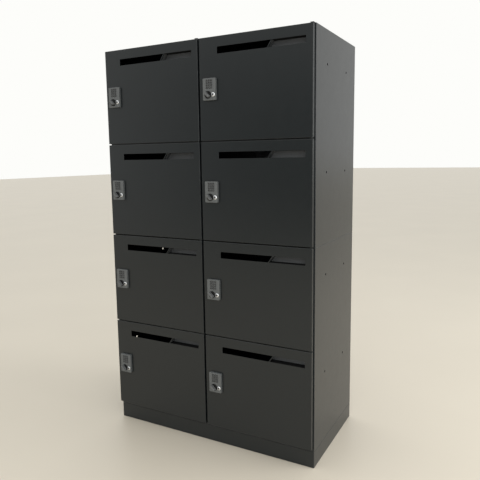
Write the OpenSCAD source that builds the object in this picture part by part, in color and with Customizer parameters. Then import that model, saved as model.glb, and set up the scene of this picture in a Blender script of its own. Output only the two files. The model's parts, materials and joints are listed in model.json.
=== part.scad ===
// Eight-door steel locker cabinet: two columns of four overlay doors on two stacked carcasses and a plinth.
// Millimetres. +X right, +Z up, the doors face -Y. Origin: centre of the plinth's underside.

/* [Cabinet] */
// Width over the side panels
cab_w = 900; // [750:5:1100]
// Depth from the carcass front to its back
cab_d = 450; // [360:5:560]
// Height of the plinth
plinth_h = 64; // [50:1:90]
// Distance from one row of doors to the next
row_pitch = 374; // [310:1:460]
// Carcass showing under the lowest doors
bottom_reveal = 12.5; // [8:0.5:20]
// Carcass showing above the highest doors
top_reveal = 0.5; // [0:0.5:3]
// How far the joint between the carcasses lies under the middle row line
seam_drop = 2.5; // [2:0.5:5]

/* [Sheet metal] */
// Carcass sheet thickness
sheet = 1.2; // [0.8:0.1:2]
// Back panel thickness
back_sheet = 1; // [0.8:0.1:1.5]
// Plinth sheet thickness
plinth_sheet = 1.5; // [1.2:0.1:2.5]
// Width of the carcass front flange down each side
side_flange = 18; // [16:1:24]
// Height of the carcass front flange along top and bottom
end_flange = 14; // [10:1:18]
// Width of the flange that holds the back panel
back_flange = 12; // [8:1:20]
// Width of the stile on the front edge of a partition
stile_w = 36; // [32:1:44]
// Height of the rail on the front edge of a shelf
rail_h = 20; // [16:1:30]
// Width of the plinth's top and bottom flanges
plinth_flange = 24; // [20:1:40]

/* [Doors] */
// Gap between the two columns of doors
column_gap = 8; // [6:0.5:14]
// Gap between one door and the next above it
row_gap = 4.5; // [4:0.1:8]
// Set-in of the outer door edges from the side panels
side_inset = 4; // [3:0.5:8]
// Gap between the doors and the carcass front
door_gap = 2; // [1.9:0.1:4]
// Door thickness
door_t = 16; // [14:0.5:22]
// Door sheet thickness
door_sheet = 1; // [0.8:0.1:1.2]
// Width of the lip folded in around the door's back
door_lip = 14; // [12:1:24]
// Width of the stiffening channel behind the skin
channel_w = 60; // [30:5:90]
// Depth of the stiffening channel
channel_t = 10; // [6:1:12]

/* [Letter slot and label pocket] */
// Slot length
slot_l = 340; // [260:5:350]
// Slot height
slot_h = 24.5; // [18:0.5:40]
// From the door's left edge to the slot
slot_left = 76; // [60:1:85]
// From the door's top edge to the slot
slot_drop = 37; // [24:1:60]
// Length of the open letter slot along its bottom edge
letter_l = 197; // [120:1:220]
// How far the divider leans to the right over the slot's height
divider_lean = 17; // [0:1:30]
// Width of the divider's front face
divider_w = 5; // [2:0.5:8]
// Depth of the label pocket behind the door's face
pocket_d = 31; // [20:1:40]
// Pocket sheet thickness
pocket_sheet = 1; // [0.8:0.1:1.5]

/* [Hinges] */
// Pivot pin diameter
pin_d = 4; // [3:0.5:5]
// Radial clearance of every turning fit
turn_fit = 0.05; // [0.02:0.01:0.1]
// From a door's hinge edge to its pivot axis
pivot_in = 6; // [4:0.5:6.5]
// From a door's back to its pivot axis
pivot_fwd = 10; // [8:0.5:11]
// Thickness of a pivot bracket
bracket_t = 1.5; // [1.2:0.1:2]
// Width of a pivot bracket
bracket_w = 12; // [8:1:14]
// Length of a pivot pin beyond its bracket
pin_l = 9; // [6:0.5:12]
// Height of the pivot block inside a door's corner
block_h = 12; // [10:1:16]

/* [Locks] */
// Lock case width
lock_w = 54; // [52:1:64]
// Lock case height
lock_h = 79; // [76:1:95]
// How far the lock case stands proud of the door
lock_t = 10; // [9:0.5:14]
// Corner radius of the lock case
lock_r = 4; // [2:0.5:8]
// From the door's left edge to the lock case
lock_in = 18.5; // [16:0.5:22]
// Wall in front of the keypad
keypad_wall = 3; // [2:0.5:4]
// Key cap width
key_w = 7; // [5:0.5:8]
// Key cap height
key_h = 6; // [4:0.5:7]
// Spacing of the key columns
key_dx = 9.5; // [8.8:0.1:10.5]
// Spacing of the key rows
key_dz = 8.5; // [7.8:0.1:9]
// Clearance round each key cap and behind the case wall
key_clear = 0.4; // [0.3:0.05:0.6]
// How far a key cap stands out of the case
key_proud = 1.6; // [1.2:0.1:3]
// Diameter of the turn knob
knob_d = 26.4; // [22:0.2:27]
// How far the knob's grip stands out from the case
knob_h = 15; // [10:0.5:20]
// Thickness of the knob's grip
grip_t = 8.5; // [6:0.5:11]
// Knob spindle diameter
spindle_d = 10; // [8:0.5:12]
// Side of the spindle's square end
square_s = 6; // [5:0.5:7]
// Reach of the latch cam from the spindle's axis
cam_l = 36; // [33:1:38]
// Width of the latch cam
cam_w = 14; // [12:1:18]
// Thickness of the latch cam
cam_t = 2.5; // [2:0.5:4]
// Gap between the latch cam and the carcass flange it passes behind
cam_gap = 1.5; // [1:0.25:3]
// Key plug barrel diameter
plug_d = 12; // [10:0.5:12.5]
// Key plug face diameter
plug_face_d = 15; // [13:0.5:16]

/* [Fastenings and side holes] */
// Diameter of the ganging holes in the side panels
side_hole_d = 9; // [6:0.5:12]
// Distance between the two holes of a row
side_hole_dy = 220; // [150:5:260]
// From the middle of the depth forward to the middle of the two holes
side_hole_fwd = 3; // [0:1:20]
// From a row's top line down to its side holes
side_hole_drop = 117; // [60:1:150]
// Joining bolt diameter
bolt_d = 6; // [5:1:8]
// Clearance round a joining bolt
bolt_clear = 0.3; // [0.2:0.05:0.5]
// Diameter of the floor anchor holes
anchor_d = 9; // [6:0.5:12]
// From the carcass walls to a joining bolt
bolt_in = 12; // [10:0.5:14]
// From the middle of the cabinet to the inner joining bolts of the plinth
bolt_mid = 120; // [60:5:200]
// From the plinth's outer faces to a floor anchor hole
anchor_in = 14; // [10:0.5:16]
// Diameter of a door bumper
bumper_d = 8; // [6:0.5:10]
// Clearance between a door bumper and its door
bumper_clear = 0.3; // [0.3:0.05:0.6]

/* [Hidden] */
$fn = 48;
SIDES = ["left", "right"];
UNITS = ["lower", "upper"];
ROWS = [1, 2, 3, 4];
KEY_COLS = 3;
KEY_ROWS = 4;
DOOR_PARTS = ["door", "lock_case", "keypad", "lock_knob", "latch_cam", "key_plug"];
CARCASS_PARTS = ["shell", "back_panel", "partition", "shelf"];

// Overshoot of a cutting shape past the surface it cuts
cut = 1;
// How far one shape runs into the next where the two are one solid
weld = 1;

// Levels
row_base = plinth_h + bottom_reveal;
total_h = row_base + len(ROWS) * row_pitch + top_reveal;
seam_z = row_base + 2 * row_pitch - seam_drop;
unit_z = [plinth_h, seam_z];
unit_top = [seam_z, total_h];
// Height of the bottom flange of each carcass
unit_sill = [bottom_reveal + end_flange, end_flange];
// Row line under the upper doors of each carcass, where its shelf lies
shelf_line = [row_base + row_pitch, row_base + 3 * row_pitch];
shelf_top = [for (z = shelf_line) z + rail_h / 2];

// Planes across the depth
front_y = -cab_d / 2;
back_y = cab_d / 2;
flange_y = front_y + sheet;
panel_y = back_y - sheet - back_sheet;
door_back_y = front_y - door_gap;
door_y = door_back_y - door_t;
pivot_y = door_back_y - pivot_fwd;
wall_x = cab_w / 2 - sheet;

// Doors
door_w = (cab_w - 2 * side_inset - column_gap) / 2;
door_h = row_pitch - row_gap;
door_x = [side_inset - cab_w / 2, column_gap / 2];
function side_of(s) = s == "left" ? 0 : 1;
function row_line(r) = row_base + (len(ROWS) + 1 - r) * row_pitch;
function door_z(r) = row_line(r) - row_pitch + row_gap / 2;
slot_z = door_h - slot_drop - slot_h;

// Hinges
// Depth of the bore for a pivot pin, measured from the door's end
pin_gap = (row_gap - bracket_t) / 2;
pin_bore = pin_l - pin_gap + cut;
block_w = pivot_in * 2;
// Reach of a bracket past its pivot axis, kept behind the door's face
bracket_nose = min(pin_d, door_t - pivot_fwd);

// Locks, from the centre of the case on the door's face
lock_x = lock_in + lock_w / 2;
lock_z = door_h / 2;
// From the case's top edge to the middle of the keypad
keypad_drop = 21;
keypad_z = lock_h / 2 - keypad_drop;
// From the case's bottom edge to the axes of the knob and the key plug
dial_rise = 20;
dial_z = dial_rise - lock_h / 2;
knob_x = -5;
plug_x = 17;
knob_recess = 1.5;
knob_clear = 0.4;
knob_base_t = 4;
// How far the ends of the grip stay inside the knob's base
grip_margin = 0.5;
knob_back_y = knob_recess - lock_t - knob_clear;
barrel_wall = 4;
// From the end of the spindle's barrel to the door's back
barrel_short = 1.5;
barrel_l = door_t - barrel_short;
plug_barrel_wall = 1.6;
plug_barrel_l = 12;
barrel_fit = 0.2;
plug_face_t = 2.2;
keyway_w = 1.6;
keyway_h = 8;
keyway_d = 12;
mat_t = 1.6;
mat_border = 2.5;
// Corner radius of the key caps, their windows and their mat
key_r = 1;
mat_w = (KEY_COLS - 1) * key_dx + key_w + 2 * mat_border;
mat_h = (KEY_ROWS - 1) * key_dz + key_h + 2 * mat_border;
mat_front_y = keypad_wall - lock_t + key_clear;
cam_y = door_t + door_gap + sheet + cam_gap;
square_fit = 0.05;
square_spare = 1.5;
// From the spindle's shoulder to the cam
shoulder_gap = 0.2;
spindle_end = cam_y - shoulder_gap;

// Fastenings
bolt_x = wall_x - bolt_in;
bolt_y = cab_d / 2 - sheet - bolt_in;
// Four bolts along the plinth's front, and one near each corner between the carcasses
plinth_bolts = [for (x = [-bolt_x, -bolt_mid, bolt_mid, bolt_x]) [x, -bolt_y]];
seam_bolts = [for (sx = [-1, 1], sy = [-1, 1]) [sx * bolt_x, sy * bolt_y]];
bolt_head_d = 1.75 * bolt_d;
bolt_head_t = 0.65 * bolt_d;
nut_t = 0.8 * bolt_d;
bolt_spare = 2;
hole_y = [for (k = [-1, 1]) k * side_hole_dy / 2 - side_hole_fwd];
bumper_z = 12;

STEEL = [0.16, 0.165, 0.17];
CARCASS_SIDE = [0.22, 0.22, 0.215];
CASE_GREY = [0.42, 0.42, 0.41];
BLACK = [0.05, 0.05, 0.05];
NICKEL = [0.85, 0.85, 0.86];
ZINC = [0.65, 0.66, 0.68];
KEY_GREY = [0.3, 0.3, 0.31];
KNOB_GREY = [0.25, 0.25, 0.25];

// A box between two corners
module span(a, b) {
    translate(a)
        cube([b[0] - a[0], b[1] - a[1], b[2] - a[2]]);
}

// A cylinder along +Y from y = from to y = to
module y_rod(d, from, to) {
    translate([0, from, 0])
        rotate([-90, 0, 0])
            cylinder(d = d, h = to - from);
}

// A plate in the XZ plane with round corners, centred, from y = from to y = to
module y_plate(w, h, r, from, to) {
    translate([0, to, 0])
        rotate([90, 0, 0])
            linear_extrude(to - from) {
                square([w - 2 * r, h], center = true);
                square([w, h - 2 * r], center = true);
                for (sx = [-1, 1], sz = [-1, 1])
                    translate([sx * (w / 2 - r), sz * (h / 2 - r)])
                        circle(r);
            }
}

// Moves the origin to a door's bottom left corner on its face
module at_door(c, r) {
    translate([door_x[c], door_y, door_z(r)])
        children();
}

// Moves the origin to the centre of a lock case on its door's face
module at_lock(c, r) {
    at_door(c, r)
        translate([lock_x, 0, lock_z])
            children();
}

// The places of the joining bolts at one level
module at_bolts(places, z) {
    for (p = places)
        translate([p[0], p[1], z])
            children();
}

// Clearance holes for joining bolts through a sheet that lies just above z
module bolt_holes(places, z, t) {
    at_bolts(places, z - cut)
        cylinder(d = bolt_d + 2 * bolt_clear, h = t + 2 * cut);
}

module plinth() {
    inner_x = cab_w / 2 - plinth_flange;
    inner_y = cab_d / 2 - plinth_flange;
    color(STEEL)
        difference() {
            span([-cab_w / 2, front_y, 0], [cab_w / 2, back_y, plinth_h]);
            span([plinth_sheet - cab_w / 2, front_y + plinth_sheet, plinth_sheet],
                [cab_w / 2 - plinth_sheet, back_y - plinth_sheet, plinth_h - plinth_sheet]);
            span([-inner_x, -inner_y, -cut], [inner_x, inner_y, plinth_h + cut]);
            bolt_holes(plinth_bolts, plinth_h - plinth_sheet, plinth_sheet);
            for (sx = [-1, 1], sy = [-1, 1])
                translate([sx * (cab_w / 2 - anchor_in), sy * (cab_d / 2 - anchor_in), -cut])
                    cylinder(d = anchor_d, h = plinth_sheet + 2 * cut);
        }
}

// Carcass wrap: sides, top and bottom with front and back flanges
module shell(u) {
    z0 = unit_z[u];
    z1 = unit_top[u];
    color(CARCASS_SIDE)
        difference() {
            span([-cab_w / 2, front_y, z0], [cab_w / 2, back_y, z1]);
            span([-wall_x, flange_y, z0 + sheet], [wall_x, back_y - sheet, z1 - sheet]);
            span([side_flange - cab_w / 2, front_y - cut, z0 + unit_sill[u]],
                [cab_w / 2 - side_flange, 0, z1 - end_flange]);
            span([back_flange - cab_w / 2, 0, z0 + back_flange],
                [cab_w / 2 - back_flange, back_y + cut, z1 - back_flange]);
            for (r = [3 - 2 * u, 4 - 2 * u], y = hole_y)
                translate([-cab_w / 2 - cut, y, row_line(r) - side_hole_drop])
                    rotate([0, 90, 0])
                        cylinder(d = side_hole_d, h = cab_w + 2 * cut);
            bolt_holes(u == 0 ? plinth_bolts : seam_bolts, z0, sheet);
            if (u == 0)
                bolt_holes(seam_bolts, z1 - sheet, sheet);
        }
}

module back_panel(u) {
    color(STEEL)
        span([-wall_x, panel_y, unit_z[u] + sheet], [wall_x, panel_y + back_sheet, unit_top[u] - sheet]);
}

// Upright between the two columns. Its back half is slit to take the shelf.
module partition(u) {
    z0 = unit_z[u] + sheet;
    z1 = unit_top[u] - sheet;
    color(STEEL)
        difference() {
            union() {
                span([-sheet / 2, flange_y - sheet / 2, z0], [sheet / 2, panel_y, z1]);
                span([-stile_w / 2, front_y, unit_z[u] + unit_sill[u]],
                    [stile_w / 2, flange_y, unit_top[u] - end_flange]);
            }
            // The plate stops behind the top and bottom flanges
            for (z = [[z0 - cut, unit_z[u] + unit_sill[u]], [unit_top[u] - end_flange, z1 + cut]])
                span([-sheet, front_y - cut, z[0]], [sheet, flange_y, z[1]]);
            span([-sheet, 0, shelf_top[u] - sheet], [sheet, back_y, shelf_top[u]]);
        }
}

// Shelf with a front rail each side of the stile. Its front half is slit to take the partition.
module shelf(u) {
    z = shelf_top[u];
    color(STEEL)
        difference() {
            union() {
                span([-wall_x, flange_y, z - sheet], [wall_x, panel_y, z]);
                for (x = [[side_flange - cab_w / 2, -stile_w / 2], [stile_w / 2, cab_w / 2 - side_flange]])
                    span([x[0], front_y, z - rail_h], [x[1], flange_y, z]);
                for (x = [[side_flange - cab_w / 2, -stile_w / 2], [stile_w / 2, cab_w / 2 - side_flange]])
                    span([x[0], front_y, z - sheet], [x[1], flange_y + sheet, z]);
            }
            span([-sheet / 2, front_y - cut, z - rail_h], [sheet / 2, 0, z + cut]);
        }
}

// Bracket tongue with its pivot pins, at the hinge edge of column c and the row line z
module pivot_bracket(c, z, up, down) {
    plate_z = min(z, total_h - bracket_t / 2) - bracket_t / 2;
    translate([door_x[c] + door_w - pivot_in, pivot_y, plate_z]) {
        span([-bracket_w / 2, -bracket_nose, 0], [bracket_w / 2, front_y - pivot_y, bracket_t]);
        if (up)
            cylinder(d = pin_d, h = bracket_t + pin_l);
        if (down)
            translate([0, 0, -pin_l])
                cylinder(d = pin_d, h = pin_l + bracket_t);
    }
}

module pivot_brackets() {
    color(STEEL)
        for (c = [0, 1], k = [0 : len(ROWS)])
            pivot_bracket(c, row_base + k * row_pitch, k < len(ROWS), k > 0);
}

// Rubber buttons on the carcass front behind the free corners of each door
module door_bumpers() {
    color(BLACK)
        for (c = [0, 1], r = ROWS, z = [bumper_z, door_h - bumper_z])
            at_door(c, r)
                translate([(stile_w - column_gap) / 4, 0, z])
                    y_rod(bumper_d, door_t + bumper_clear, door_t + door_gap);
}

// Bolts with nuts through plinth and carcass, and through carcass and carcass
module joining_bolts() {
    color(ZINC)
        for (level = [[plinth_bolts, plinth_h, plinth_sheet], [seam_bolts, seam_z, sheet]])
            at_bolts(level[0], level[1]) {
                translate([0, 0, sheet])
                    cylinder(d = bolt_head_d, h = bolt_head_t, $fn = 6);
                translate([0, 0, -level[2] - nut_t - bolt_spare])
                    cylinder(d = bolt_d, h = level[2] + nut_t + bolt_spare + sheet);
                translate([0, 0, -level[2] - nut_t])
                    cylinder(d = bolt_head_d, h = nut_t, $fn = 6);
            }
}

// Outline of the part of the slot from x = a on, with a leaning left end; y is up
module slot_outline(a, z0, z1, end) {
    lean = divider_lean / slot_h;
    polygon([
        [a + lean * z0, z0],
        [end, z0],
        [end, z1],
        [a + lean * z1, z1]
    ]);
}

// Extrudes an outline drawn in X and Z along +Y
module through_y(from, to) {
    translate([slot_left, to, slot_z])
        rotate([90, 0, 0])
            linear_extrude(to - from)
                children();
}

// Tray behind the right end of the slot, open to the front
module label_pocket() {
    a = letter_l;
    w = pocket_sheet;
    difference() {
        through_y(0, pocket_d)
            slot_outline(a, -w, slot_h + w, slot_l + w);
        through_y(-cut, pocket_d - w)
            slot_outline(a + w, 0, slot_h, slot_l);
    }
    // The divider's front face
    through_y(0, door_sheet)
        polygon([[a, 0], [a + divider_w, 0], [a + divider_w + divider_lean, slot_h], [a + divider_lean, slot_h]]);
}

// Hat channel that stiffens the skin below the slot
module stiffener() {
    x = door_w / 2;
    difference() {
        span([x - channel_w / 2, door_sheet, door_lip], [x + channel_w / 2, channel_t, slot_z - door_lip]);
        span([x - channel_w / 2 + door_sheet, 0, 0], [x + channel_w / 2 - door_sheet, channel_t - door_sheet, door_h]);
    }
}

// Folded steel door with its letter slot, label pocket, stiffener and pivot blocks welded in
module door(c, r) {
    s = door_sheet;
    color(STEEL)
        at_door(c, r)
            difference() {
                union() {
                    difference() {
                        span([0, 0, 0], [door_w, door_t, door_h]);
                        span([s, s, s], [door_w - s, door_t - s, door_h - s]);
                        span([door_lip, s, door_lip], [door_w - door_lip, door_t + cut, door_h - door_lip]);
                        through_y(-cut, s + cut)
                            square([slot_l, slot_h]);
                    }
                    label_pocket();
                    stiffener();
                    for (z = [0, door_h - block_h])
                        span([door_w - block_w, s, z], [door_w, door_t, z + block_h]);
                }
                for (z = [-cut, door_h - pin_bore])
                    translate([door_w - pivot_in, door_t - pivot_fwd, z])
                        cylinder(d = pin_d + 2 * turn_fit, h = pin_bore + cut);
                translate([lock_x, 0, lock_z]) {
                    translate([knob_x, 0, dial_z])
                        y_rod(spindle_d + 2 * (barrel_wall + barrel_fit), -cut, s + cut);
                    translate([plug_x, 0, dial_z])
                        y_rod(plug_d + 2 * (plug_barrel_wall + barrel_fit), -cut, s + cut);
                }
            }
}

// Places of the key caps on a lock case
module at_keys() {
    for (i = [0 : KEY_COLS - 1], j = [0 : KEY_ROWS - 1])
        translate([(i - (KEY_COLS - 1) / 2) * key_dx, 0, keypad_z + (j - (KEY_ROWS - 1) / 2) * key_dz])
            children();
}

// Case with windows for the keys and barrels for the spindle and the key plug
module lock_case(c, r) {
    color(CASE_GREY)
        at_lock(c, r)
            difference() {
                union() {
                    y_plate(lock_w, lock_h, lock_r, -lock_t, 0);
                    translate([knob_x, 0, dial_z])
                        y_rod(spindle_d + 2 * barrel_wall, -weld, barrel_l);
                    translate([plug_x, 0, dial_z])
                        y_rod(plug_d + 2 * plug_barrel_wall, -weld, plug_barrel_l);
                }
                translate([0, 0, keypad_z])
                    span([-mat_w / 2 - key_clear, keypad_wall - lock_t, -mat_h / 2 - key_clear],
                        [mat_w / 2 + key_clear, cut, mat_h / 2 + key_clear]);
                at_keys()
                    y_plate(key_w + 2 * key_clear, key_h + 2 * key_clear, key_r, -lock_t - cut, cut);
                translate([knob_x, 0, dial_z]) {
                    y_rod(knob_d + 2 * knob_clear, -lock_t - cut, knob_recess - lock_t);
                    y_rod(spindle_d + 2 * turn_fit, -lock_t - cut, barrel_l + cut);
                }
                translate([plug_x, 0, dial_z])
                    y_rod(plug_d + 2 * turn_fit, -lock_t - cut, plug_barrel_l + cut);
            }
}

// Key caps on one mat
module keypad(c, r) {
    color(KEY_GREY)
        at_lock(c, r) {
            translate([0, 0, keypad_z])
                y_plate(mat_w, mat_h, key_r, mat_front_y, mat_front_y + mat_t);
            at_keys()
                y_plate(key_w, key_h, key_r, -lock_t - key_proud, mat_front_y + mat_t / 2);
        }
}

// Turn knob with its grip, spindle and square end
module lock_knob(c, r) {
    grip_l = knob_d - 2 * grip_margin;
    grip_r = grip_t / 2 - grip_margin;
    half = square_s / 2;
    color(KNOB_GREY)
        at_lock(c, r)
            translate([knob_x, 0, dial_z]) {
                y_rod(knob_d, knob_back_y - knob_base_t, knob_back_y);
                rotate([0, 45, 0])
                    y_plate(grip_l, grip_t, grip_r, -lock_t - knob_h, knob_back_y - weld);
                y_rod(spindle_d, knob_back_y - weld, spindle_end);
                span([-half, spindle_end - weld, -half], [half, cam_y + cam_t + square_spare, half]);
            }
}

// Cam on the spindle's square end; it hangs down when the lock is open
module latch_cam(c, r) {
    tip = cam_l - cam_w / 2;
    hole = square_s + 2 * square_fit;
    color(ZINC)
        at_lock(c, r)
            translate([knob_x, 0, dial_z])
                difference() {
                    union() {
                        y_rod(cam_w, cam_y, cam_y + cam_t);
                        span([-cam_w / 2, cam_y, -tip], [cam_w / 2, cam_y + cam_t, 0]);
                        translate([0, 0, -tip])
                            y_rod(cam_w, cam_y, cam_y + cam_t);
                    }
                    translate([0, cam_y + cam_t / 2, 0])
                        cube([hole, cam_t + 2 * cut, hole], center = true);
                }
}

// Key plug with its face and keyway
module key_plug(c, r) {
    face_y = -lock_t - knob_clear;
    color(NICKEL)
        at_lock(c, r)
            translate([plug_x, 0, dial_z])
                difference() {
                    union() {
                        y_rod(plug_face_d, face_y - plug_face_t, face_y);
                        y_rod(plug_d, face_y - weld, plug_barrel_l);
                    }
                    span([-keyway_w / 2, face_y - plug_face_t - cut, -keyway_h / 2],
                        [keyway_w / 2, face_y - plug_face_t + keyway_d, keyway_h / 2]);
                }
}

plinth();
pivot_brackets();
door_bumpers();
joining_bolts();
for (u = [0, 1]) {
    shell(u);
    back_panel(u);
    partition(u);
    shelf(u);
}
for (s = SIDES, r = ROWS) {
    door(side_of(s), r);
    lock_case(side_of(s), r);
    keypad(side_of(s), r);
    lock_knob(side_of(s), r);
    latch_cam(side_of(s), r);
    key_plug(side_of(s), r);
}
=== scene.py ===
import json
import math

import bmesh
import bpy
from mathutils import Matrix, Vector

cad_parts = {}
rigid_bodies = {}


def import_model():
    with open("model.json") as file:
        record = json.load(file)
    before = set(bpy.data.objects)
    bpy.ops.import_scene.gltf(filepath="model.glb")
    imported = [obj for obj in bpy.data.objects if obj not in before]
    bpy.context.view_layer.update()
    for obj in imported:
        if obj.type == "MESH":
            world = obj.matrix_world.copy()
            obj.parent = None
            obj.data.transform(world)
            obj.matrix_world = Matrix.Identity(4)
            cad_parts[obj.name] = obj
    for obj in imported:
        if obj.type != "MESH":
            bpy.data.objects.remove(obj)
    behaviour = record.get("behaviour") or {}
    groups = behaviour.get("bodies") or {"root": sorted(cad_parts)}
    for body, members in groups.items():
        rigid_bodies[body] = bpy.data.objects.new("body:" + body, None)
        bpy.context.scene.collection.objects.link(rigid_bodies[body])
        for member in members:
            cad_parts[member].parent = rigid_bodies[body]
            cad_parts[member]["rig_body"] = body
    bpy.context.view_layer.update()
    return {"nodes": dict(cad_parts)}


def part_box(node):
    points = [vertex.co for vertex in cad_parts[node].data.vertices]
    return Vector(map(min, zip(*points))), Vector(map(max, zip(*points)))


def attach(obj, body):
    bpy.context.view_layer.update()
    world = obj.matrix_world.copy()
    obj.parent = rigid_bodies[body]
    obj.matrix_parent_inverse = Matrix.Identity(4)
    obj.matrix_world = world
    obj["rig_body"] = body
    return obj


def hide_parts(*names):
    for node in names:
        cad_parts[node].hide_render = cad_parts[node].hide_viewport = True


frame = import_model()
print("frame loaded", len(frame["nodes"]), "nodes")

mm = 0.001
units = ("lower", "upper")
lockers = [f"{side}_{row}" for side in ("left", "right") for row in (1, 2, 3, 4)]


def hexColour(code):
    channels = [int(code[i:i + 2], 16) / 255 for i in (1, 3, 5)]
    linear = [c / 12.92 if c <= 0.04045 else ((c + 0.055) / 1.055) ** 2.4 for c in channels]
    return (*linear, 1)


def addNode(tree, kind, inputs=None, **settings):
    node = tree.nodes.new(kind)
    for name, value in settings.items():
        setattr(node, name, value)
    for socket, value in (inputs or {}).items():
        if isinstance(value, bpy.types.NodeSocket):
            tree.links.new(value, node.inputs[socket])
        else:
            node.inputs[socket].default_value = value
    return node


def startMaterial(name, **fixed):
    # a material with its shader's constants set, and the piece's own coordinates in metres
    material = bpy.data.materials.new(name)
    material.use_nodes = True
    tree = material.node_tree
    shader = tree.nodes["Principled BSDF"]
    for socket, value in fixed.items():
        shader.inputs[socket.replace("_", " ")].default_value = value
    place = addNode(tree, "ShaderNodeTexCoord").outputs["Object"]
    return material, tree, shader, place


powderCoat = {
    "colour": "#161b1d",
    "foldWearAndHighlight": "#3a3b3b",     # folds painted lighter: partly polish wear from hands and trolleys, partly a painted highlight where the folds catch the light
    "foldWearAndHighlightAmount": (0.06, 0.4),
    "dust": "#8d8a84",
    "dustAmount": 0.3,
    "grainSize": 2.6 * mm,   # real grain is about 0.4 mm, drawn coarser so that it shows
    "grainHeight": 0.05 * mm,
    "patchSize": 110 * mm,   # slow change of shade across a sprayed sheet
    "patchDepth": 0.07,
    "smearSize": 34 * mm,    # hand marks, which change only the gloss
    "roughness": (0.28, 0.31),
}


def finePowderCoat(name, tone):
    # polyester powder coat, baked on sheet steel: a dark satin skin with a fine sandy grain,
    # cloudy gloss where it has been wiped, folds lighter as wear and painted highlight, and a little dust
    # on what faces up
    s = powderCoat
    material, tree, shader, place = startMaterial(name, IOR=1.5)
    grain = addNode(tree, "ShaderNodeTexNoise", {"Vector": place, "Scale": 1 / s["grainSize"],
                    "Detail": 3.0})
    patch = addNode(tree, "ShaderNodeTexNoise", {"Vector": place, "Scale": 1 / s["patchSize"],
                    "Detail": 4.0})
    smear = addNode(tree, "ShaderNodeTexNoise", {"Vector": place, "Scale": 1 / s["smearSize"],
                    "Detail": 5.0, "Distortion": 1.2})
    base = Vector(hexColour(s["colour"])[:3]) * tone
    dark, pale = base * (1 - s["patchDepth"]), base * (1 + s["patchDepth"])
    shade = addNode(tree, "ShaderNodeMix", {0: patch.outputs["Fac"], 6: (*dark, 1), 7: (*pale, 1)},
                    data_type="RGBA")
    speck = addNode(tree, "ShaderNodeMapRange", {0: grain.outputs["Fac"], 1: 0.35, 2: 0.7,
                    3: 0.95, 4: 1.06})
    speckled = addNode(tree, "ShaderNodeVectorMath", {0: shade.outputs[2], 1: speck.outputs[0]},
                       operation="MULTIPLY")
    # folds painted lighter in patches: wear, and a painted highlight along the folds
    fold = addNode(tree, "ShaderNodeAttribute", attribute_name="fold")
    foldWearAndHighlightPatches = addNode(tree, "ShaderNodeMapRange", {0: smear.outputs["Fac"], 1: 0.42, 2: 0.66,
                   3: s["foldWearAndHighlightAmount"][0], 4: s["foldWearAndHighlightAmount"][1]})
    foldWearAndHighlightMask = addNode(tree, "ShaderNodeMath", {0: fold.outputs["Fac"], 1: foldWearAndHighlightPatches.outputs[0]},
                  operation="MULTIPLY")
    foldWearAndHighlight = addNode(tree, "ShaderNodeMix", {0: foldWearAndHighlightMask.outputs[0], 6: speckled.outputs[0],
                     7: hexColour(s["foldWearAndHighlight"])}, data_type="RGBA")
    # dust on level tops
    normal = addNode(tree, "ShaderNodeNewGeometry").outputs["Normal"]
    facing = addNode(tree, "ShaderNodeSeparateXYZ", {0: normal})
    level = addNode(tree, "ShaderNodeMapRange", {0: facing.outputs["Z"], 1: 0.75, 2: 0.98, 3: 0.0,
                    4: s["dustAmount"]})
    lying = addNode(tree, "ShaderNodeMath", {0: level.outputs[0], 1: patch.outputs["Fac"]},
                    operation="MULTIPLY")
    dusty = addNode(tree, "ShaderNodeMix", {0: lying.outputs[0], 6: foldWearAndHighlight.outputs[2],
                    7: hexColour(s["dust"])}, data_type="RGBA")
    gloss = addNode(tree, "ShaderNodeMapRange", {0: smear.outputs["Fac"], 1: 0.3, 2: 0.7,
                    3: s["roughness"][0], 4: s["roughness"][1]})
    duller = addNode(tree, "ShaderNodeMath", {0: gloss.outputs[0], 1: lying.outputs[0]}, operation="ADD")
    bump = addNode(tree, "ShaderNodeBump", {"Height": grain.outputs["Fac"], "Strength": 0.6,
                   "Distance": s["grainHeight"]})
    tree.links.new(dusty.outputs[2], shader.inputs["Base Color"])
    tree.links.new(duller.outputs[0], shader.inputs["Roughness"])
    tree.links.new(bump.outputs[0], shader.inputs["Normal"])
    return material


def evenSkin(name, colour, rough, grainSize, grainHeight, index=1.53):
    # a moulded, sprayed or pressed skin: an even colour, with a fine grain that breaks up the shine
    material, tree, shader, place = startMaterial(name, IOR=index)
    grain = addNode(tree, "ShaderNodeTexNoise", {"Vector": place, "Scale": 1 / grainSize, "Detail": 4.0})
    flow = addNode(tree, "ShaderNodeTexNoise", {"Vector": place, "Scale": 1 / (14 * mm), "Detail": 2.0})
    base = Vector(hexColour(colour)[:3])
    shade = addNode(tree, "ShaderNodeMix", {0: flow.outputs["Fac"], 6: (*(base * 0.9), 1),
                    7: (*(base * 1.1), 1)}, data_type="RGBA")
    gloss = addNode(tree, "ShaderNodeMapRange", {0: flow.outputs["Fac"], 1: 0.3, 2: 0.7,
                    3: rough - 0.06, 4: rough + 0.06})
    bump = addNode(tree, "ShaderNodeBump", {"Height": grain.outputs["Fac"], "Strength": 0.5,
                   "Distance": grainHeight})
    tree.links.new(shade.outputs[2], shader.inputs["Base Color"])
    tree.links.new(gloss.outputs[0], shader.inputs["Roughness"])
    tree.links.new(bump.outputs[0], shader.inputs["Normal"])
    return material


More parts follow.
